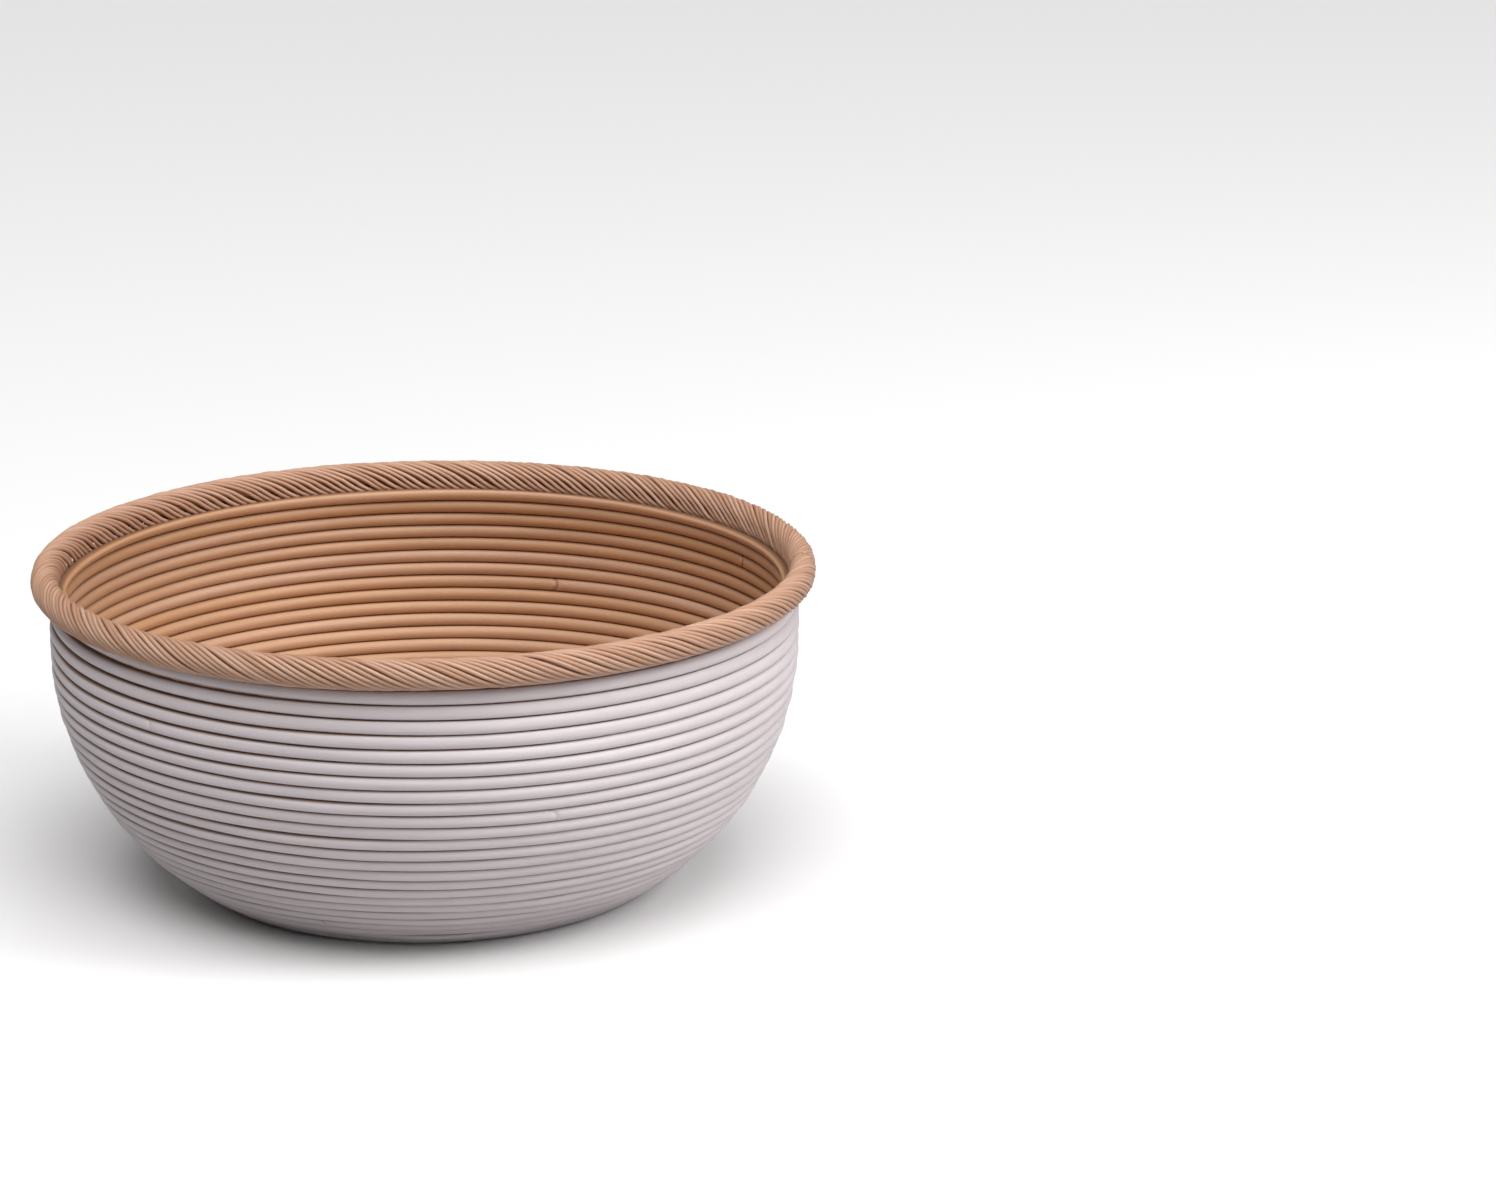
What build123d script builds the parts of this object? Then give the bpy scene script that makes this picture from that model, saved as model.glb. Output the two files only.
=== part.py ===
"""A coiled cane bowl, in millimetres.

One round cane is wound as a flat spiral for the base and climbs on, turn by turn, as the wall.
It is spliced from several lengths, and each turn is pinned to the one before it. The last turn
is shaved level, and a rope border, reeds laid round an oval hoop, sits over it.

+Z is up. The origin is the middle of the base, on the surface that the bowl stands on.
"""

from build123d import *
from math import ceil, cos, pi, radians, sin
import os

# The coil
CANE_DIAMETER = 5.2
COIL_PITCH = 5.3  # from the middle of one turn to the middle of the next
COIL_TURNS = 41.4
COIL_END_AZIMUTH = -175.0  # degrees, where the last turn runs out under the border
TIP_THICKNESS = 1.0  # of the last turn at its very end
BASE_RADIUS = 84.0  # the flat part of the base
HEEL_RADIUS = 6.4  # the tight curve from base to wall, at the middle of the cane
HEEL_ANGLE = 30.8  # degrees, where the heel becomes the wall
WALL_RADIUS = 110.0  # the wall's curve, seen from the side, at the middle of the cane
SANDED_DEPTH = 0.3  # taken off the underside, so that the bowl stands flat

# The splices
BASE_LENGTHS = 2
WALL_LENGTHS = 9
SCARF_LENGTH = 6.0  # of the slanting cut where two lengths meet
GLUE_GAP = 0.1

# The pins
PIN_DIAMETER = 0.9
PIN_LENGTH = 7.6
PIN_SPACING = 120.0  # along the cane
SPLICE_PIN_LENGTH = 4.4
RIM_PINS = 24
RIM_PIN_LENGTH = 9.0

# The rope border
BORDER_RADIUS = 144.7  # of the ring that the border is wound round
BORDER_HEIGHT = 121.9
REED_DIAMETER = 1.45
REED_HALF_WIDTH = 4.25  # of the oval that the reeds' middles follow
REED_HALF_HEIGHT = 4.95
REEDS = 16
PLIES = 4
WRAPS = 14  # of one reed, on its way round the bowl
LAY_START = 225.0  # degrees round the oval, so that a reed's ends hide low on the inside
BORDER_JOINT = 0.6  # degrees left open where a reed's ends meet
HOOP_CLEARANCE = 0.1

CANE_RADIUS = CANE_DIAMETER / 2
BASE_HEIGHT = CANE_RADIUS - SANDED_DEPTH
HEEL_LENGTH = HEEL_RADIUS * radians(HEEL_ANGLE)
ARCS_PER_TURN = 8
POINTS_PER_WRAP = 12
NEAR = 0.001  # turns, to either side of a point where the cane's direction is measured


def station(turn):
    """The radius and height of the cane's middle after so many turns."""
    along = COIL_PITCH * (turn + 0.5)
    if along <= BASE_RADIUS:
        return along, BASE_HEIGHT
    along -= BASE_RADIUS
    heel = min(along / HEEL_RADIUS, radians(HEEL_ANGLE))
    wall = heel + max(along - HEEL_LENGTH, 0) / WALL_RADIUS
    radius = BASE_RADIUS + HEEL_RADIUS * sin(heel) + WALL_RADIUS * (sin(wall) - sin(heel))
    height = BASE_HEIGHT + HEEL_RADIUS * (1 - cos(heel)) + WALL_RADIUS * (cos(heel) - cos(wall))
    return radius, height


def outward(turn):
    """Level, from the bowl's axis to the cane. The coil climbs clockwise, seen from above."""
    azimuth = radians(COIL_END_AZIMUTH) + 2 * pi * (COIL_TURNS - turn)
    return Vector(cos(azimuth), sin(azimuth), 0)


def coil_point(turn):
    radius, height = station(turn)
    return outward(turn) * radius + Vector(0, 0, height)


def along_cane(turn):
    return (coil_point(turn + NEAR) - coil_point(turn - NEAR)).normalized()


def across_turns(turn):
    """The direction from the turn before to this one, along the bowl's skin."""
    (radius_0, height_0), (radius_1, height_1) = station(turn - NEAR), station(turn + NEAR)
    return (outward(turn) * (radius_1 - radius_0) + Vector(0, 0, height_1 - height_0)).normalized()


def length_between(first, last):
    steps = ceil((last - first) * ARCS_PER_TURN)
    step = (last - first) / steps
    return sum(2 * pi * station(first + (i + 0.5) * step)[0] * step for i in range(steps))


def equal_lengths(first, last, count):
    """The turns at the ends of each of so many equal lengths between first and last."""
    wanted = length_between(first, last) / count
    turns = [first]
    for _ in range(count - 1):
        guess = turns[-1] + wanted / (2 * pi * station(turns[-1])[0])
        share = wanted / length_between(turns[-1], guess)
        turns.append(turns[-1] + (guess - turns[-1]) * share)
    return turns + [last]


def scarf_plane(turn):
    """The slanting cut at a splice. It crosses the cane from the bowl's inside to its outside."""
    along = along_cane(turn)
    inward = along.cross(across_turns(turn))
    slope = CANE_DIAMETER / SCARF_LENGTH
    return Plane(origin=coil_point(turn), x_dir=along + inward * slope, z_dir=inward - along * slope)


def cane_solid(first, last, starts_free, ends_free):
    """One length of cane, wound along the coil and cut to a scarf where it meets another length."""
    lap_first = 0 if starts_free else SCARF_LENGTH / 2 / (2 * pi * station(first)[0])
    lap_last = 0 if ends_free else SCARF_LENGTH / 2 / (2 * pi * station(last)[0])
    start, end = first - lap_first, last + lap_last
    arcs = ceil((end - start) * ARCS_PER_TURN)
    points = [coil_point(start + (end - start) * i / arcs) for i in range(arcs + 1)]
    with BuildPart() as cane:
        with BuildLine():
            direction = along_cane(start)
            for here, there in zip(points, points[1:]):
                arc = TangentArc(here, there, tangent=direction)
                direction = arc % 1
        with BuildSketch(Plane(origin=points[0], z_dir=along_cane(start))):
            Circle(CANE_RADIUS)
        sweep()
        cuts = [] if starts_free else [(scarf_plane(first).offset(-GLUE_GAP / 2), Align.MIN)]
        cuts += [] if ends_free else [(scarf_plane(last).offset(GLUE_GAP / 2), Align.MAX)]
        for plane, side in cuts:
            with Locations(plane):
                Box(
                    SCARF_LENGTH + CANE_DIAMETER,
                    2 * COIL_PITCH - CANE_DIAMETER,
                    2 * CANE_DIAMETER,
                    align=(Align.CENTER, Align.CENTER, side),
                    mode=Mode.SUBTRACT,
                )
    return cane.part


os.makedirs("parts", exist_ok=True)


def save(part, name):
    part.label = name
    export_step(part, f"parts/{name}.step")
    print(name, len(part.solids()), "solids", round(part.volume), "mm3")


base_turns = equal_lengths(0, BASE_RADIUS / COIL_PITCH - 0.5, BASE_LENGTHS)
wall_turns = equal_lengths(base_turns[-1], COIL_TURNS, WALL_LENGTHS)
level = station(COIL_TURNS)[1] - CANE_RADIUS + TIP_THICKNESS

# The base: the first length starts in the middle, and the underside is sanded flat.
for number, (first, last) in enumerate(zip(base_turns, base_turns[1:]), 1):
    length_of_cane = cane_solid(first, last, starts_free=number == 1, ends_free=False)
    with BuildPart() as base_cane:
        add(length_of_cane)
        split(bisect_by=Plane.XY, keep=Keep.TOP)
    save(base_cane.part, f"base_cane_{number}")

# The wall: its first length leaves the floor, and its last is shaved level for the border.
for number, (first, last) in enumerate(zip(wall_turns, wall_turns[1:]), 1):
    length_of_cane = cane_solid(first, last, starts_free=False, ends_free=number == WALL_LENGTHS)
    with BuildPart() as wall_cane:
        add(length_of_cane)
        split(bisect_by=Plane.XY, keep=Keep.TOP)
        split(bisect_by=Plane.XY.offset(level), keep=Keep.BOTTOM)
    save(wall_cane.part, f"wall_cane_{number}")


def coil_pins(first, last):
    """Pins from just inside the outer edge of their own turn into the turn before."""
    count = round(length_between(first, last) / PIN_SPACING)
    planes = []
    for turn in equal_lengths(first, last, count)[1:-1]:
        edge = coil_point(turn) + across_turns(turn) * (CANE_RADIUS - GLUE_GAP)
        planes.append(Plane(origin=edge, z_dir=-across_turns(turn)))
    with BuildPart() as pins:
        with BuildSketch(*planes):
            Circle(PIN_DIAMETER / 2)
        extrude(amount=PIN_LENGTH)
    return pins.part


save(coil_pins(1.0, base_turns[-1]), "base_pins")
save(coil_pins(base_turns[-1], COIL_TURNS - 1.0), "wall_pins")

# A short pin through the middle of each scarf.
scarfs = [scarf_plane(turn) for turn in base_turns[1:] + wall_turns[1:-1]]
with BuildPart() as splice_pins:
    with BuildSketch(*[plane.offset(-SPLICE_PIN_LENGTH / 2) for plane in scarfs]):
        Circle(PIN_DIAMETER / 2)
    extrude(amount=SPLICE_PIN_LENGTH)
save(splice_pins.part, "splice_pins")

# The border's hoop: an oval cane that the reeds are laid round.
with BuildPart() as rim_hoop:
    with BuildSketch(Plane.XZ):
        with Locations((BORDER_RADIUS, BORDER_HEIGHT)):
            Ellipse(
                REED_HALF_WIDTH - REED_DIAMETER / 2 - HOOP_CLEARANCE,
                REED_HALF_HEIGHT - REED_DIAMETER / 2 - HOOP_CLEARANCE,
            )
    revolve(axis=Axis.Z)
save(rim_hoop.part, "rim_hoop")


def reed_point(share):
    """A reed circles the oval section WRAPS times, over the top and outwards, round the bowl."""
    azimuth = 2 * pi * share
    lay = radians(LAY_START) - WRAPS * azimuth
    radius = BORDER_RADIUS + REED_HALF_WIDTH * cos(lay)
    height = BORDER_HEIGHT + REED_HALF_HEIGHT * sin(lay)
    return Vector(radius * cos(azimuth), radius * sin(azimuth), height)


with BuildPart() as reed:
    with BuildLine() as route:
        count = WRAPS * POINTS_PER_WRAP
        reach = 1 - BORDER_JOINT / 360
        Spline(*[reed_point(reach * i / count) for i in range(count + 1)])
    with BuildSketch(Plane(origin=route.line @ 0, z_dir=route.line % 0)):
        Circle(REED_DIAMETER / 2)
    sweep(is_frenet=True)

# Every reed is the same, turned about the bowl's axis by its share of one wrap.
reed_step = 360 / REEDS / WRAPS
reeds_per_ply = REEDS // PLIES
for ply in range(PLIES):
    turned = [reed_step * (ply * reeds_per_ply + i) for i in range(reeds_per_ply)]
    rope_ply = Compound(children=[reed.part.rotate(Axis.Z, angle) for angle in turned])
    save(rope_ply, f"rope_ply_{ply + 1}")

# Pins from the border's middle down into the wall's top.
wall_radius, wall_height = station(COIL_TURNS - 1)
planes = []
for number in range(RIM_PINS):
    out = Vector(1, 0, 0).rotate(Axis.Z, 360 * number / RIM_PINS)
    middle = out * BORDER_RADIUS + Vector(0, 0, BORDER_HEIGHT)
    target = out * wall_radius + Vector(0, 0, wall_height)
    planes.append(Plane(origin=middle, z_dir=target - middle))
with BuildPart() as rim_pins:
    with BuildSketch(*planes):
        Circle(PIN_DIAMETER / 2)
    extrude(amount=RIM_PIN_LENGTH)
save(rim_pins.part, "rim_pins")
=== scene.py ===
# %% [markdown]
# # A coiled cane bowl
# A bowl like this is one long cane. It is wound as a flat spiral for the base, and it climbs on,
# turn by turn, as the wall. Its outside is painted, its inside is left bare, and a rope of thin
# reeds finishes the rim.
#
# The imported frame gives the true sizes. What a plain solid can't show is the hand of the maker:
# a cane that wanders as it is bent, paint that fills some grooves and misses others, fibres, and
# reeds that crowd together and part again as they twist. This lesson adds those.

import bpy
import numpy as np
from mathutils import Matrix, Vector


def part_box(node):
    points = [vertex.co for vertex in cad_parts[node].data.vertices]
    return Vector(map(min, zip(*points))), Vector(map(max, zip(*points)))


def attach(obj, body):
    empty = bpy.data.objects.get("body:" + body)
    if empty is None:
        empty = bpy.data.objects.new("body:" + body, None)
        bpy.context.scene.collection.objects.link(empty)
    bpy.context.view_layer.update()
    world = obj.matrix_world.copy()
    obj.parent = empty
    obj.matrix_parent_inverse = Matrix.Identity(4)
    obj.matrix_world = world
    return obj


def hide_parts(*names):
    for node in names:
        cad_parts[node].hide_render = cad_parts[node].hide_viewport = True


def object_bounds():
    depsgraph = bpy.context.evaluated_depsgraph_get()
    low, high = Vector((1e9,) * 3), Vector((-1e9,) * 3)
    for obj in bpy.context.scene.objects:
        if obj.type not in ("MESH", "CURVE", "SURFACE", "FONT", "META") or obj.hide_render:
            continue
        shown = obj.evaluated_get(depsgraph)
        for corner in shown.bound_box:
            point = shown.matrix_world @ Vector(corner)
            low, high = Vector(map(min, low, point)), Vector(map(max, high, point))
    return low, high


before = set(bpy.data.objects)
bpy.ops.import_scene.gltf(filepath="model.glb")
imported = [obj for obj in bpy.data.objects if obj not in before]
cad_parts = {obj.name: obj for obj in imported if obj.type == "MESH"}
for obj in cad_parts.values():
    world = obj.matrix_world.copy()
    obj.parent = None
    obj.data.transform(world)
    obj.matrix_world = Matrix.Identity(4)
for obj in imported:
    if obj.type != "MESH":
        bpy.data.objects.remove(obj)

cad_low, cad_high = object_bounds()
print("the frame is", [round(side, 4) for side in cad_high - cad_low], "m")

# %% [markdown]
# ## Where the cane runs
# Every turn of a coiled bowl sits one cane's width further along the bowl's skin than the turn
# before it. So the whole path needs only one profile: a flat base, a tight heel and a long wall
# curve. The number of turns wound so far says how far along that profile the cane has come.
# A stack of separate rings would be easier, but its grooves would never run out under the rim.

# %% The profile of the bowl
CANE = 0.0052
PITCH = 0.0053
TURNS = 41.4
END_AZIMUTH = np.radians(-175.0)
BASE_RADIUS = 0.084
HEEL_RADIUS = 0.0064
HEEL_ANGLE = np.radians(30.8)
WALL_RADIUS = 0.110
BASE_HEIGHT = 0.0023
TIP_THICKNESS = 0.001


def station(turn):
    """Radius, height and slope of the cane's middle.

    The flat base gives way to an arc of the heel's radius, and that to an arc of the wall's
    radius. Slope is 0 on the flat, a right angle on an upright wall, and more where it leans in.
    """
    along = PITCH * (turn + 0.5)
    past = np.clip(along - BASE_RADIUS, 0, None)
    heel = np.minimum(past / HEEL_RADIUS, HEEL_ANGLE)
    slope = heel + np.clip(past - HEEL_RADIUS * HEEL_ANGLE, 0, None) / WALL_RADIUS
    radius = np.minimum(along, BASE_RADIUS) + HEEL_RADIUS * np.sin(heel)
    radius = radius + WALL_RADIUS * (np.sin(slope) - np.sin(heel))
    height = BASE_HEIGHT + HEEL_RADIUS * (1 - np.cos(heel))
    height = height + WALL_RADIUS * (np.cos(heel) - np.cos(slope))
    return radius, height, slope


level = station(TURNS)[1] - CANE / 2 + TIP_THICKNESS
heel_turn = BASE_RADIUS / PITCH - 0.5
print("the wall is shaved level at", round(float(level), 4), "m")

# %% Length along the cane
turn_table = np.linspace(0, TURNS, 8000)
step_lengths = 2 * np.pi * station((turn_table[1:] + turn_table[:-1]) / 2)[0] * np.diff(turn_table)
length_table = np.concatenate([[0], np.cumsum(step_lengths)])


def length_at(turn):
    """Metres of cane used up to a turn: the sum of many short arcs."""
    return np.interp(turn, turn_table, length_table)


def turn_at(length):
    """The turn that a length of cane reaches: the same table, read the other way."""
    return np.interp(length, length_table, turn_table)


def equal_lengths(first, last, count):
    """The turns that cut the cane between first and last into so many equal lengths."""
    return turn_at(np.linspace(length_at(first), length_at(last), count + 1))


base_splices = equal_lengths(0, heel_turn, 2)
wall_splices = equal_lengths(heel_turn, TURNS, 9)
print("the coil takes", round(float(length_table[-1]), 2), "m of cane")

# %% [markdown]
# ## The hand of the maker
# Nothing bent by hand is a perfect circle. Two kinds of error show on a coiled bowl. Each turn
# has its own small wander in and out, and whole bands of turns ride up or sag together, because
# every turn follows the one below. Sums of a few slow waves give both, and they repeat exactly
# on every run, because the seed is fixed.

# %% Slow waves
rng = np.random.default_rng(7)


def slow_waves(x, wavelength, count=6):
    """A smooth wander of about -1 to 1: waves round one wavelength, with random phases, added."""
    scale = wavelength * rng.uniform(0.6, 1.7, count)
    phase = rng.uniform(0, 2 * np.pi, count)
    waves = np.sin(2 * np.pi * x[..., None] / scale + phase)
    return waves.sum(-1) / np.sqrt(count)


# %% Bands that ride up and sag
SAG = 0.0009  # how far a band of turns rides up or down
SAG_FLATNESS = 0.7  # below 1, the sag reaches further up and down the wall
SAG_TWIST = 2.0  # how much the waves shift round the bowl between heel and rim, in radians
RISE = 0.0023  # the last turns are pushed up to meet the border where the cane runs out
RISE_SPREAD = np.radians(57)
RISE_DEPTH = 5.0  # turns
RISE_TOP = TURNS - 0.9
sag_phase = rng.uniform(0, 2 * np.pi, 3)


def sag(azimuth, turn):
    """How far the turns ride up: three waves round the bowl, strongest mid-wall, and one rise.

    Each wave is a sine over its number. The rise is a bell curve round the cane's end, and fades
    as a square over a few turns.
    """
    climb = np.clip((turn - heel_turn) / (TURNS - heel_turn), 0, 1)
    swell = np.sin(np.pi * climb) ** SAG_FLATNESS
    waves = sum(np.sin(k * azimuth + sag_phase[k - 1] + SAG_TWIST * climb) / k for k in (1, 2, 3))
    past_end = (azimuth - END_AZIMUTH + np.pi) % (2 * np.pi) - np.pi
    fade = np.clip(1 - (RISE_TOP - turn) / RISE_DEPTH, 0, 1) ** 2
    rise = RISE * np.exp(-((past_end / RISE_SPREAD) ** 2)) * fade
    return SAG * swell * waves + rise


# %% [markdown]
# ## A tube from a grid
# Canes and reeds are both tubes: a small outline carried along a path. As a grid, the rows are
# stations along the path and the columns go round the outline, so numpy can place every point at
# once. The UV map keeps metres along the tube and metres round it, which lets a wood grain follow
# every bend.

# %% Make a closed tube


def tube(name, points, along, around):
    """A mesh from a grid of points, rows along and columns round, closed with a cap at each end.

    A face joins a point to the next one round and to the same two one row up. Along holds each
    point's metres along the tube, and around each column's metres round it. The sides are smooth
    and the caps flat.
    """
    rows, columns, _ = points.shape
    index = np.arange(rows * columns).reshape(rows, columns)
    here, up = index[:-1], index[1:]
    quads = np.stack([here, np.roll(here, -1, 1), np.roll(up, -1, 1), up], -1).reshape(-1, 4)
    mesh = bpy.data.meshes.new(name)
    faces = quads.tolist() + [index[0, ::-1].tolist(), index[-1].tolist()]
    mesh.from_pydata(points.reshape(-1, 3).tolist(), [], faces)
    corner_around = np.append(around, 2 * around[-1] - around[-2])
    column = np.arange(columns)
    u = along.reshape(rows, columns)
    u_here, u_up = u[:-1], u[1:]
    corner_u = np.stack([u_here, np.roll(u_here, -1, 1), np.roll(u_up, -1, 1), u_up], -1)
    v_here, v_next = corner_around[column], corner_around[column + 1]
    corner_v = np.stack([v_here, v_next, v_next, v_here], -1)
    corner_v = np.broadcast_to(corner_v, (rows - 1, columns, 4))
    side = np.stack([corner_u, corner_v], -1).reshape(-1, 2)
    caps = [np.stack([u[0, ::-1], around[::-1]], -1), np.stack([u[-1], around], -1)]
    uv = mesh.uv_layers.new(name="grain")
    uv.data.foreach_set("uv", np.concatenate([side, *caps]).astype(np.float32).ravel())
    smooth = np.arange(len(faces)) < len(quads)
    mesh.polygons.foreach_set("use_smooth", smooth)
    return mesh


def point_values(mesh, name, values):
    """Stores one number for each point, for a material to read by name."""
    attribute = mesh.attributes.new(name, "FLOAT", "POINT")
    attribute.data.foreach_set("value", np.asarray(values, np.float32).ravel())


def add_piece(mesh, material, slot, *nodes):
    """Puts a finished mesh in the scene, in place of the frame's plain solids."""
    piece = bpy.data.objects.new(mesh.name, mesh)
    bpy.context.scene.collection.objects.link(piece)
    mesh.materials.append(material)
    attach(piece, "root")
    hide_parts(*nodes)
    return piece


# %% [markdown]
# ## Wood fibre, once for every piece
# Cane and reed are the same plant, cut to different sizes. Both show long fibres that run with
# the piece, and both change tone slowly along their length. A node group built once serves both:
# it reads the UV map, stretches one noise along the grain for the fibres, and uses a second,
# slow one for the tone.

# %% A helper for node trees


def add_node(tree, kind, location, **settings):
    """A node with some of its settings. A key such as in_2 sets the value of input 2."""
    node = tree.nodes.new(kind)
    node.location = location
    for key, value in settings.items():
        if key.startswith("in_"):
            node.inputs[int(key[3:])].default_value = value
        else:
            setattr(node, key, value)
    return node


def math_node(tree, operation, location, a, b=None, clamp=False):
    """A Math node whose inputs are sockets or numbers."""
    node = add_node(tree, "ShaderNodeMath", location, operation=operation, use_clamp=clamp)
    for socket, value in zip(node.inputs, (a, b)):
        if value is None:
            continue
        if isinstance(value, (int, float)):
            socket.default_value = value
        else:
            tree.links.new(value, socket)
    return node.outputs[0]


def mix_colours(tree, location, factor, a, b, blend="MIX"):
    """A Mix node for colours, with sockets or plain colours as inputs."""
    node = add_node(tree, "ShaderNodeMix", location, data_type="RGBA", blend_type=blend)
    for socket, value in ((node.inputs[0], factor), (node.inputs[6], a), (node.inputs[7], b)):
        if isinstance(value, bpy.types.NodeSocket):
            tree.links.new(value, socket)
        elif isinstance(value, (int, float)):
            socket.default_value = value
        else:
            socket.default_value = (*value, 1)
    return node.outputs[2]


def ramp_between(tree, location, value, low, high):
    """0 below low, 1 above high, and smooth between."""
    node = add_node(tree, "ShaderNodeMapRange", location, interpolation_type="SMOOTHSTEP")
    tree.links.new(value, node.inputs[0])
    node.inputs[1].default_value = low
    node.inputs[2].default_value = high
    return node.outputs[0]


# %% The fibre group


FIBRE_STREAMS = (
    # name, waves a metre along the grain, share of the fineness across it, detail
    ("streak", 45.0, 1.0, 3.0),
    ("pore", 260.0, 3.2, 2.0),
    ("tone", 9.0, 0.03, 2.0),
)


def make_fibre_group():
    """Outputs: Fibre, 0 to 1 across fine streaks; Tone, 0 to 1 and slow; Height, for a bump.

    Each stream is one noise, stretched along the grain. The height is the fibre plus part of
    the pores.
    """
    group = bpy.data.node_groups.new("wood_fibre", "ShaderNodeTree")
    group.interface.new_socket("Fineness", in_out="INPUT", socket_type="NodeSocketFloat")
    group.interface.new_socket("Offset", in_out="INPUT", socket_type="NodeSocketFloat")
    for name in ("Fibre", "Tone", "Height"):
        group.interface.new_socket(name, in_out="OUTPUT", socket_type="NodeSocketFloat")
    start = add_node(group, "NodeGroupInput", (-1100, 0))
    end = add_node(group, "NodeGroupOutput", (700, 0))
    uv = add_node(group, "ShaderNodeUVMap", (-1100, 200), uv_map="grain")
    split = add_node(group, "ShaderNodeSeparateXYZ", (-900, 200))
    group.links.new(uv.outputs[0], split.inputs[0])
    streams = {}
    for name, along, across, detail in FIBRE_STREAMS:
        run = math_node(group, "MULTIPLY", (-700, 300), split.outputs[0], along)
        fine = math_node(group, "MULTIPLY", (-700, 100), start.outputs["Fineness"], across)
        turn = math_node(group, "MULTIPLY", (-500, 100), split.outputs[1], fine)
        place = add_node(group, "ShaderNodeCombineXYZ", (-300, 200))
        group.links.new(run, place.inputs[0])
        group.links.new(turn, place.inputs[1])
        group.links.new(start.outputs["Offset"], place.inputs[2])
        noise = add_node(group, "ShaderNodeTexNoise", (-100, 200), in_2=1.0, in_3=detail, in_4=0.55)
        group.links.new(place.outputs[0], noise.inputs["Vector"])
        streams[name] = noise.outputs[0]
    fibre = ramp_between(group, (200, 200), streams["streak"], 0.3, 0.72)
    tone = ramp_between(group, (200, 0), streams["tone"], 0.28, 0.72)
    pores = ramp_between(group, (200, -200), streams["pore"], 0.35, 0.6)
    deep = math_node(group, "MULTIPLY", (400, -200), pores, 0.4)
    height = math_node(group, "ADD", (550, -200), fibre, deep)
    group.links.new(fibre, end.inputs["Fibre"])
    group.links.new(tone, end.inputs["Tone"])
    group.links.new(height, end.inputs["Height"])
    return group


fibre_group = make_fibre_group()


def fibres(tree, location, fineness, offset=0.0):
    """Places the fibre group in a material."""
    node = add_node(tree, "ShaderNodeGroup", location, node_tree=fibre_group)
    node.inputs["Fineness"].default_value = fineness
    node.inputs["Offset"].default_value = offset
    return node


def attribute(tree, location, name):
    """Reads back a number that was stored for each point."""
    node = add_node(tree, "ShaderNodeAttribute", location, attribute_name=name)
    return node.outputs["Fac"]


def new_finish(name):
    """A material with only its Principled shader, to build on."""
    material = bpy.data.materials.new(name)
    material.use_nodes = True
    shader = material.node_tree.nodes["Principled BSDF"]
    return material, material.node_tree, shader


def add_bump(tree, shader, height, strength, distance):
    """Tilts the shader's normal as if the surface rose by the distance where the height is 1."""
    bump = add_node(tree, "ShaderNodeBump", (500, -400))
    bump.inputs["Strength"].default_value = strength
    bump.inputs["Distance"].default_value = distance
    tree.links.new(height, bump.inputs["Height"])
    tree.links.new(bump.outputs[0], shader.inputs["Normal"])


# %% [markdown]
# ## Painted outside, bare inside
# The paint was brushed on after winding, so it sits on the crowns of the turns and hardly reaches
# the bottom of the grooves. Each point of the cane knows how far round to the outside it is, and
# the paint's edge is a soft threshold on that number, made ragged with noise. A second number
# says how deep the paint goes, since the brush was fuller on one side of the bowl. The bare side
# keeps its honey colour, and a painted shade darkens the grooves and the bare cane outside.

# %% The painted cane
# All colours are linear, from 0 to 1.
PAINT = (0.735, 0.675, 0.695)
PAINT_THIN = (0.57, 0.505, 0.51)
PINK_TAN = (0.60, 0.37, 0.25)
GOLD_TAN = (0.53, 0.285, 0.14)
STREAK_BROWN = (0.38, 0.20, 0.11)
# painted shade: bare cane and reed darken towards the first colour in their grooves, and bare cane
# outside towards the second
BARE_GROOVE_SHADE = (0.25, 0.115, 0.05)
OUTSIDE_GROOVE_SHADE = (0.19, 0.13, 0.115)
TONE_SHADE = 0.30  # how far slow tone and fine fibres take the bare cane towards its brown
FIBRE_SHADE = 0.28
GROOVE_SHADE_EDGE = (0.74, 1.04)  # where the painted groove shade starts and where it is full: 1 is the groove's bottom
OUTSIDE_BARE_SHADE = 0.85  # how far painted shade darkens bare cane on the outside
RAGGED = 0.2  # how far the slow tone moves the paint's edge
PAINT_EDGE = (0.46, 0.86)  # where paint starts and where it covers: 1 is the outside's crown
WORN_FIBRE = 0.3  # how far fibres and slow tone thin the paint
WORN_TONE = 0.35
BARE_ROUGHNESS = 0.42
PAINT_ROUGHER = 0.14


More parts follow.
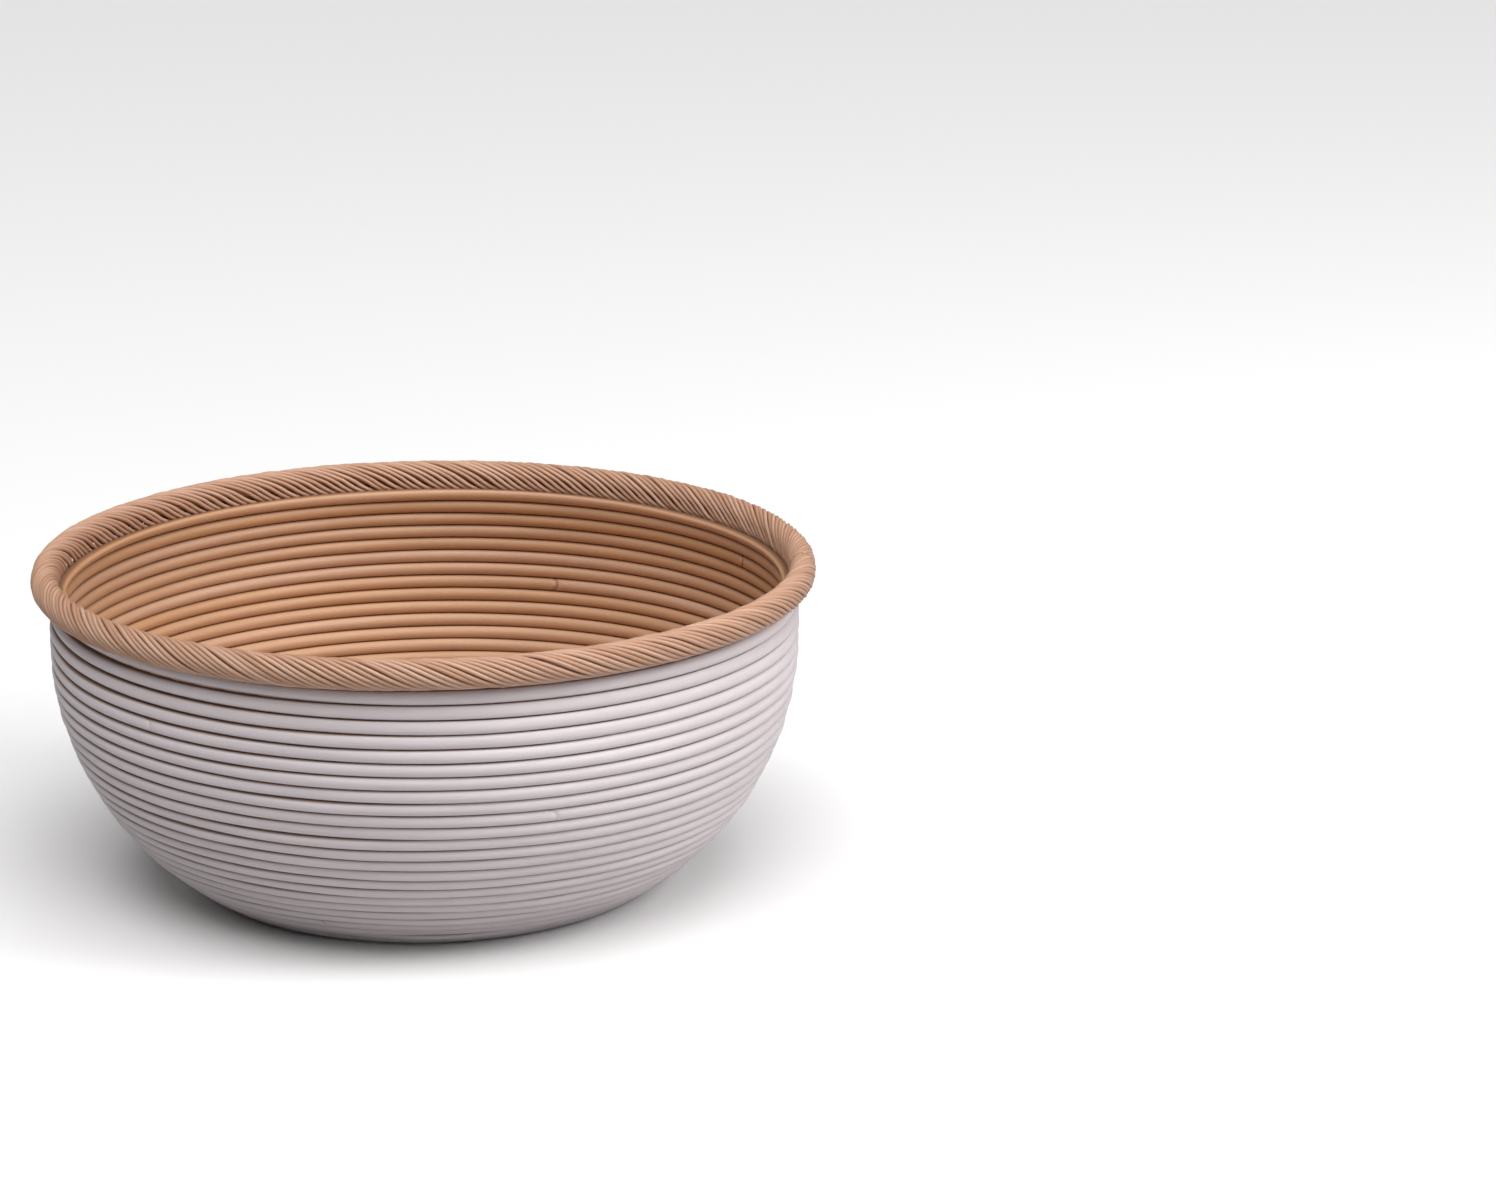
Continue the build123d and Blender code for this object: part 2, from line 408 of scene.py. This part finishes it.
def make_cane_finish():
    """Bare cane, with a painted shade in its grooves, under paint that stops at a ragged edge."""
    material, tree, shader = new_finish("limewashed_cane")
    grain = fibres(tree, (-1400, 0), 5200.0)
    outside = attribute(tree, (-1400, 300), "outside")
    paint_depth = attribute(tree, (-1400, 500), "paint_depth")
    groove = attribute(tree, (-1400, -300), "groove")
    own_tone = attribute(tree, (-1400, -500), "tone")

    bare = mix_colours(tree, (-1000, -400), own_tone, GOLD_TAN, PINK_TAN)
    shade = math_node(tree, "MULTIPLY", (-1000, -200), grain.outputs["Tone"], TONE_SHADE)
    bare = mix_colours(tree, (-800, -300), shade, bare, STREAK_BROWN)
    streak = math_node(tree, "MULTIPLY", (-800, -50), grain.outputs["Fibre"], FIBRE_SHADE)
    bare = mix_colours(tree, (-600, -200), streak, bare, STREAK_BROWN)
    # painted shade: darker towards each groove's bottom, and on bare cane facing outwards
    groove_shade = ramp_between(tree, (-600, -450), groove, *GROOVE_SHADE_EDGE)
    is_outside = ramp_between(tree, (-800, -600), outside, -0.1, 0.1)
    outside_bare_shade = math_node(tree, "MULTIPLY", (-600, -750), is_outside, OUTSIDE_BARE_SHADE)
    groove_shade = math_node(tree, "MAXIMUM", (-450, -600), groove_shade, outside_bare_shade)
    groove_shade_colour = mix_colours(tree, (-600, -600), is_outside, BARE_GROOVE_SHADE, OUTSIDE_GROOVE_SHADE)
    bare = mix_colours(tree, (-400, -250), groove_shade, bare, groove_shade_colour)

    ragged = math_node(tree, "MULTIPLY", (-1100, 300), grain.outputs["Tone"], RAGGED)
    edge = math_node(tree, "ADD", (-950, 300), outside, ragged)
    edge = math_node(tree, "ADD", (-800, 400), edge, paint_depth)
    coverage = ramp_between(tree, (-600, 300), edge, *PAINT_EDGE)
    worn = math_node(tree, "MULTIPLY", (-950, 150), grain.outputs["Fibre"], WORN_FIBRE)
    patch = math_node(tree, "MULTIPLY", (-950, 0), grain.outputs["Tone"], WORN_TONE)
    worn = math_node(tree, "ADD", (-700, 150), worn, patch)
    paint = mix_colours(tree, (-450, 100), worn, PAINT, PAINT_THIN)
    colour = mix_colours(tree, (0, 0), coverage, bare, paint)
    tree.links.new(colour, shader.inputs["Base Color"])
    rough = math_node(tree, "MULTIPLY", (0, -200), coverage, PAINT_ROUGHER)
    rough = math_node(tree, "ADD", (150, -200), rough, BARE_ROUGHNESS)
    tree.links.new(rough, shader.inputs["Roughness"])
    add_bump(tree, shader, grain.outputs["Height"], 0.25, 0.0002)
    return material


cane_finish = make_cane_finish()

# %% The border's reeds
REED_LIGHT = (0.62, 0.40, 0.29)
REED_DARK = (0.43, 0.225, 0.135)
REED_STREAK = (0.42, 0.23, 0.14)


def make_reed_finish():
    """Bare reed: its tone is half its own and half the fibre's, and a painted shade darkens it in
    the grooves between reeds and where it faces the hoop.
    """
    material, tree, shader = new_finish("bare_reed")
    grain = fibres(tree, (-1200, 0), 9000.0, 3.0)
    own_tone = attribute(tree, (-1200, -400), "tone")
    groove = attribute(tree, (-1200, -600), "groove")
    tone = math_node(tree, "ADD", (-950, -350), grain.outputs["Tone"], own_tone)
    tone = math_node(tree, "MULTIPLY", (-800, -350), tone, 0.5)
    colour = mix_colours(tree, (-600, 0), tone, REED_DARK, REED_LIGHT)
    streak = math_node(tree, "MULTIPLY", (-800, 100), grain.outputs["Fibre"], 0.3)
    colour = mix_colours(tree, (-400, 0), streak, colour, REED_STREAK)
    # painted shade: the reed darkens towards its sides and its face against the hoop
    groove_shade = ramp_between(tree, (-400, -300), groove, 0.75, 1.1)
    colour = mix_colours(tree, (-100, 0), groove_shade, colour, BARE_GROOVE_SHADE)
    tree.links.new(colour, shader.inputs["Base Color"])
    rough = math_node(tree, "MULTIPLY", (0, -200), grain.outputs["Fibre"], 0.15)
    rough = math_node(tree, "ADD", (150, -200), rough, 0.38)
    tree.links.new(rough, shader.inputs["Roughness"])
    add_bump(tree, shader, grain.outputs["Height"], 0.3, 0.00015)
    return material


reed_finish = make_reed_finish()

# %% Wire and hoop
WIRE_DARK = (0.42, 0.41, 0.40)
WIRE_BRIGHT = (0.66, 0.66, 0.67)


def make_wire_finish():
    """Drawn steel wire: bright, with fine scratches that vary its roughness."""
    material, tree, shader = new_finish("pin_wire")
    shader.inputs["Metallic"].default_value = 1.0
    place = add_node(tree, "ShaderNodeTexCoord", (-900, 0))
    noise = add_node(tree, "ShaderNodeTexNoise", (-700, 0), in_2=4000.0, in_3=2.0)
    tree.links.new(place.outputs["Object"], noise.inputs["Vector"])
    colour = mix_colours(tree, (-300, 100), noise.outputs[0], WIRE_DARK, WIRE_BRIGHT)
    tree.links.new(colour, shader.inputs["Base Color"])
    rough = math_node(tree, "MULTIPLY", (-300, -100), noise.outputs[0], 0.4)
    rough = math_node(tree, "ADD", (-100, -100), rough, 0.2)
    tree.links.new(rough, shader.inputs["Roughness"])
    return material


def make_hoop_finish():
    """The hoop's bare cane has no UV map, so its grain is a noise on the object's own place."""
    material, tree, shader = new_finish("hoop_cane")
    place = add_node(tree, "ShaderNodeTexCoord", (-900, 0))
    noise = add_node(tree, "ShaderNodeTexNoise", (-700, 0), in_2=900.0, in_3=3.0)
    tree.links.new(place.outputs["Object"], noise.inputs["Vector"])
    colour = mix_colours(tree, (-300, 100), noise.outputs[0], STREAK_BROWN, GOLD_TAN)
    tree.links.new(colour, shader.inputs["Base Color"])
    shader.inputs["Roughness"].default_value = 0.5
    add_bump(tree, shader, noise.outputs[0], 0.2, 0.0002)
    return material


def refinish(node, material):
    """Gives a node of the frame a better material, without touching its shape."""
    for material_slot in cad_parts[node].material_slots:
        material_slot.link = "OBJECT"
        material_slot.material = material


wire_finish = make_wire_finish()
for node in ("base_pins", "wall_pins", "splice_pins", "rim_pins"):
    refinish(node, wire_finish)
refinish("rim_hoop", make_hoop_finish())

# %% [markdown]
# ## The cane, length by length
# The section starts as a circle, but the two sides differ. Inside the bowl it stays round, and
# the grooves are deep. Outside, coats of paint square it off a little. A superellipse does this:
# a power of 2 is a circle, and a higher one is squarer. The last turn is squarer still at its
# outer top, where the border presses on it.

# %% The section of the cane
COLUMNS = 22
around = 2 * np.pi * np.arange(COLUMNS) / COLUMNS - np.pi / 2
HALF = CANE / 2
HALF_ACROSS = PITCH / 2 + 0.00005  # neighbours press together, so no light comes through
PAINTED = 2.1  # how square the outside is: 2 is a circle
SHOULDER = 9.0  # the last turn's outer top corner, which the rope border sits on


def section(turn, angle):
    """Outward and across from the cane's middle. Angle 0 is the outside of the bowl.

    Each is a power of a cosine or sine, 2 over the squareness, with its sign kept.
    """
    tucked = (turn > TURNS - 1) & (np.sin(angle) > 0)
    painted = np.where(tucked, SHOULDER, PAINTED)
    facing = np.clip(np.cos(angle), 0, 1)
    power = 2 / (2 + (painted - 2) * facing * (2 - facing))
    outward = HALF * np.sign(np.cos(angle)) * np.abs(np.cos(angle)) ** power
    across = HALF_ACROSS * np.sign(np.sin(angle)) * np.abs(np.sin(angle)) ** power
    return outward, across


# %% Wind one length
ROW_STEP = 0.0026
SCARF = 0.006  # how far a splice slants
SPLICE_GAP = 0.00035  # how far it has opened, on the inside only
LUMPS = 0.02  # the cane's thickness changes by this share, over LUMP_LENGTH
LUMP_LENGTH = 0.05
WANDER = 0.00016  # and its middle wanders in and out by this much, over WANDER_LENGTH
WANDER_LENGTH = 0.11
CALM_ENDS = 60  # keeps the ends of two lengths in line where they meet
TONE_CHANGE = 0.3  # how much the colour changes over TONE_LENGTH
TONE_LENGTH = 0.7
PAINT_DEPTH = 0.34  # how much deeper into the grooves the paint goes on its thickest side
LOW_SHARE = 0.2  # and how much of that is left near the heel
PAINT_LEAST = -0.2  # the least of it, as a share of the most
THICK_SIDE = np.radians(-15)
PAINT_STOP = 0.0012  # the brush stops this far short of the top
CREEP_AZIMUTH = np.radians(66)  # except on one short stretch, where paint crept over
CREEP_HALF = np.radians(6.5)
shoulder_radius = station(TURNS)[0]


def roof(radius):
    """The height where the last turn is shaved: level under the rope, and a quarter round inside.

    The quarter round is a circle's height, one cane's half in radius.
    """
    inside = np.clip(shoulder_radius - radius, 0, HALF)
    return level - HALF + np.sqrt(HALF**2 - inside**2)


def wind(name, first, last, free_start=False, free_end=False):
    """A length of cane on the coil. Its ends are slanted where it is spliced.

    A point's place is the coil's middle at its turn, plus its outward and across parts, which
    are tipped by the slope. Its turn is slid along by its distance inside, for the slant.
    """
    rows = int((length_at(last) - length_at(first)) / ROW_STEP)
    share = np.linspace(0, 1, rows)[:, None]
    turn = first + (last - first) * share + 0 * around[None, :]
    outward, across = section(turn, around[None, :])
    per_metre = 1 / (2 * np.pi * station(turn)[0])
    slant = -outward * SCARF / CANE
    gap = SPLICE_GAP * np.clip(-outward / HALF, 0, 1)
    start_slide = 0 if free_start else slant + gap / 2
    end_slide = 0 if free_end else slant - gap / 2
    turn = turn + per_metre * (start_slide * (1 - share) + end_slide * share)
    azimuth = END_AZIMUTH + 2 * np.pi * (TURNS - turn)
    radius, height, slope = station(turn)
    metres = length_at(turn)
    calm = np.clip(CALM_ENDS * share * (1 - share), 0, 1)
    outward = outward * (1 + LUMPS * calm * slow_waves(metres, LUMP_LENGTH))
    outward = outward + WANDER * calm * slow_waves(metres, WANDER_LENGTH)
    across = across + sag(azimuth, turn)
    r = radius + outward * np.sin(slope) + across * np.cos(slope)
    z = height - outward * np.cos(slope) + across * np.sin(slope)
    z = np.clip(z, 0, roof(r))
    points = np.stack([r * np.cos(azimuth), r * np.sin(azimuth), z], -1)
    mesh = tube(name, points[:, ::-1], metres[:, ::-1], around[::-1] * HALF)
    flipped = np.broadcast_to(around[None, ::-1], turn.shape)
    crept = np.abs(azimuth[:, ::-1] - CREEP_AZIMUTH) < CREEP_HALF
    reach = np.where(crept, 1.0, (level - z[:, ::-1]) / PAINT_STOP)
    point_values(mesh, "outside", np.minimum(np.cos(flipped), reach))
    thick = np.clip(np.cos(azimuth[:, ::-1] - THICK_SIDE), PAINT_LEAST, 1)
    climb = np.clip((turn[:, ::-1] - heel_turn) / (TURNS - heel_turn), 0, 1)
    point_values(mesh, "paint_depth", PAINT_DEPTH * thick * (LOW_SHARE + climb))
    point_values(mesh, "groove", np.abs(np.sin(flipped)))
    tone = rng.uniform(0.2, 0.8) + TONE_CHANGE * slow_waves(metres[:, ::-1], TONE_LENGTH)
    point_values(mesh, "tone", np.clip(tone, 0, 1))
    return mesh


lengths = [("base", base_splices), ("wall", wall_splices)]
for part, splices in lengths:
    for number, (first, last) in enumerate(zip(splices, splices[1:]), 1):
        mesh = wind(
            f"{part}_length_{number}",
            first,
            last,
            free_start=part == "base" and number == 1,
            free_end=part == "wall" and number == len(splices) - 1,
        )
        add_piece(mesh, cane_finish, "painted_cane", f"{part}_cane_{number}")
        print(mesh.name, len(mesh.polygons), "faces")

# %% [markdown]
# ## The rope border
# Sixteen reeds are laid side by side round an oval hoop, and each goes round it fourteen times on
# its way round the bowl. So a reed is a spiral bent into a ring. Laid by hand, the reeds crowd in
# twos and threes, and the groove after each bunch is the deepest.

# %% Measure the border
hoop_low, hoop_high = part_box("rim_hoop")
ply_low, ply_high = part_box("rope_ply_1")
REED = 0.00145
OVAL_NARROWER = 0.0007  # half of how much narrower than tall the border's section is
border_height = (hoop_low.z + hoop_high.z) / 2
hoop_half_height = (hoop_high.z - hoop_low.z) / 2
half_height = (ply_high.z - ply_low.z) / 2 - REED / 2
half_width = half_height - OVAL_NARROWER
border_radius = hoop_high.x - (hoop_half_height - OVAL_NARROWER)
print("the border's ring is", round(border_radius, 4), "m in radius")

# %% Lay the reeds
REEDS = 16
PLIES = 4
WRAPS = 14
ROWS_PER_WRAP = 26
REED_COLUMNS = 10
LAY_START = np.radians(225)  # the reeds' ends hide low on the inside
REED_WIDE = 0.00084  # half the reed's width, enough that neighbours press together
REED_THICK = 0.00084
BUNCHES = np.array([0, 0, 0, 1, 1, 2, 2, 2, 3, 3, 4, 4, 4, 5, 5, 5])
BUNCH_GAP = 0.07  # the share of its place that a reed moves towards its bunch's middle
WOBBLE = 0.045  # radians round the oval, over WOBBLE_LENGTH radians round the bowl
WOBBLE_LENGTH = 0.9
SHIVER = 0.02
SHIVER_LENGTH = 0.25
LIFT = 0.00012
LIFT_LENGTH = 0.5
TUCK = 0.0014  # how far the reeds press down into the angle between the border and the wall


def lay_reed(number):
    """One reed's grid of points, and its distance along itself.

    Its middle goes round the oval while the oval goes round the bowl. It is pressed down and in
    where it dives under the border, most at the lower inner corner. Its frame is the oval's
    outward direction, the path's direction, and the cross product of the two.
    """
    azimuth = np.linspace(0, 2 * np.pi, WRAPS * ROWS_PER_WRAP + 1)
    bunch = BUNCHES[number]
    middle = np.mean(np.flatnonzero(BUNCHES == bunch))
    crowd = (number + (middle - number) * BUNCH_GAP) * 2 * np.pi / REEDS
    wobble = WOBBLE * slow_waves(azimuth, WOBBLE_LENGTH)
    wobble = wobble + SHIVER * slow_waves(azimuth, SHIVER_LENGTH)
    wobble = wobble * np.sin(azimuth / 2) ** 0.5
    lay = LAY_START - WRAPS * azimuth + crowd + wobble
    lift = LIFT * slow_waves(azimuth, LIFT_LENGTH)
    normal_out = np.cos(lay) / half_width
    normal_up = np.sin(lay) / half_height
    size = np.hypot(normal_out, normal_up)
    normal_out, normal_up = normal_out / size, normal_up / size
    r = border_radius + half_width * np.cos(lay) + lift * normal_out
    z = border_height + half_height * np.sin(lay) + lift * normal_up
    tuck = 2 * np.clip(-np.cos(lay), 0, 1) * np.clip(-np.sin(lay), 0, 1)
    z = z - TUCK * tuck
    r = r - TUCK / 2 * tuck
    radial = np.stack([np.cos(azimuth), np.sin(azimuth), 0 * azimuth], -1)
    up = np.array([0, 0, 1.0])
    path = radial * r[:, None] + up * z[:, None]
    outward = radial * normal_out[:, None] + up * normal_up[:, None]
    forward = np.gradient(path, axis=0)
    forward /= np.linalg.norm(forward, axis=1)[:, None]
    side = np.cross(forward, outward)
    side /= np.linalg.norm(side, axis=1)[:, None]
    angle = 2 * np.pi * np.arange(REED_COLUMNS) / REED_COLUMNS
    points = path[:, None]
    points = points + REED_THICK * np.cos(angle)[None, :, None] * outward[:, None]
    points = points + REED_WIDE * np.sin(angle)[None, :, None] * side[:, None]
    steps = np.linalg.norm(np.diff(path, axis=0), axis=1)
    metres = np.concatenate([[0], np.cumsum(steps)])
    return points, metres[:, None] + 0 * angle[None, :], angle


def join_meshes(name, meshes):
    """One mesh from several, keeping their UV maps and point values."""
    pieces = [bpy.data.objects.new(mesh.name, mesh) for mesh in meshes]
    for piece in pieces:
        bpy.context.scene.collection.objects.link(piece)
    with bpy.context.temp_override(active_object=pieces[0], selected_editable_objects=pieces):
        bpy.ops.object.join()
    joined = pieces[0].data
    bpy.data.objects.remove(pieces[0])
    joined.name = name
    return joined


for ply in range(PLIES):
    meshes = []
    for number in range(ply * REEDS // PLIES, (ply + 1) * REEDS // PLIES):
        points, metres, angle = lay_reed(number)
        mesh = tube(f"reed_{number}", points, metres + number, angle * REED_WIDE)
        # how far a point faces a neighbour reed or the hoop, for the reed's painted groove shade
        sideways = np.clip(0.8 * np.abs(np.sin(angle)) - 0.5 * np.cos(angle), 0, 1)
        point_values(mesh, "groove", np.broadcast_to(sideways, metres.shape))
        point_values(mesh, "tone", np.full(metres.shape, rng.uniform(0, 1)))
        meshes.append(mesh)
    joined = join_meshes(f"border_ply_{ply + 1}", meshes)
    add_piece(joined, reed_finish, "border_reed", f"rope_ply_{ply + 1}")
    print(joined.name, len(joined.polygons), "faces")

# %% [markdown]
# ## Floor, light and camera
# The bowl stands on a plain pale floor in a bright, soft studio. The main light is to the right,
# so the left of the wall falls into a gentle shade, and two weaker ones fill the front and the
# left. A wide, soft light from overhead, tipped a little to the front, lights the floor and the
# inside. The camera has a long lens, a little above the rim.

# %% Floor
FLOOR_SIDE = 24.0
FLOOR_SEEN = (0.97, 0.965, 0.965)
FLOOR_BOUNCE = (0.5, 0.49, 0.49)  # a sweep lit to white still throws back less than it shows


def make_floor():
    """One large square at the height the bowl stands on."""
    mesh = bpy.data.meshes.new("floor")
    half = FLOOR_SIDE / 2
    corners = [(-half, -half, 0), (half, -half, 0), (half, half, 0), (-half, half, 0)]
    mesh.from_pydata(corners, [], [(0, 1, 2, 3)])
    floor = bpy.data.objects.new("floor", mesh)
    bpy.context.scene.collection.objects.link(floor)
    material, tree, shader = new_finish("pale_floor")
    rays = add_node(tree, "ShaderNodeLightPath", (-600, 0))
    colour = mix_colours(tree, (-300, 0), rays.outputs["Is Camera Ray"], FLOOR_BOUNCE, FLOOR_SEEN)
    tree.links.new(colour, shader.inputs["Base Color"])
    shader.inputs["Roughness"].default_value = 0.4
    mesh.materials.append(material)


make_floor()

# %% Light
BOX_SIDE = 0.9


def soft_box(name, place, target, power):
    """A square area light that faces a target."""
    lamp = bpy.data.lights.new(name, "AREA")
    lamp.size = BOX_SIDE
    lamp.energy = power
    light = bpy.data.objects.new(name, lamp)
    light.location = place
    light.rotation_mode = "QUATERNION"
    light.rotation_quaternion = (Vector(target) - Vector(place)).to_track_quat("-Z", "Y")
    bpy.context.scene.collection.objects.link(light)


bowl_middle = (0, 0, cad_high.z / 2)
soft_box("key", (1.5, -0.35, 1.1), bowl_middle, 19)
soft_box("front", (0.8, -1.6, 1.0), bowl_middle, 6.5)
soft_box("left", (-1.5, -0.1, 1.2), bowl_middle, 3.5)

ceiling_lamp = bpy.data.lights.new("ceiling", "SUN")
ceiling_lamp.energy = 2.95
ceiling_lamp.angle = np.radians(55)
ceiling = bpy.data.objects.new("ceiling", ceiling_lamp)
ceiling.rotation_euler = (np.radians(18), 0, 0)
bpy.context.scene.collection.objects.link(ceiling)

world = bpy.data.worlds.new("studio")
world.use_nodes = True
world.node_tree.nodes["Background"].inputs[0].default_value = (1, 0.99, 0.985, 1)
world.node_tree.nodes["Background"].inputs[1].default_value = 0.05
bpy.context.scene.world = world
bpy.context.scene.view_settings.view_transform = "Standard"

# %% Camera
CAMERA_PLACE = Vector((0.8548, -11.875, 4.098))  # in radii of the border's ring
CAMERA_DOWN = 0.2724  # radians below level
camera_data = bpy.data.cameras.new("camera")
camera_data.sensor_width = 36
camera_data.lens = 111.8
camera_data.clip_start = 0.1
camera_data.clip_end = 100
camera = bpy.data.objects.new("camera", camera_data)
camera.location = CAMERA_PLACE * border_radius
camera.rotation_euler = (np.pi / 2 - CAMERA_DOWN, 0, 0)
bpy.context.scene.collection.objects.link(camera)
bpy.context.scene.camera = camera
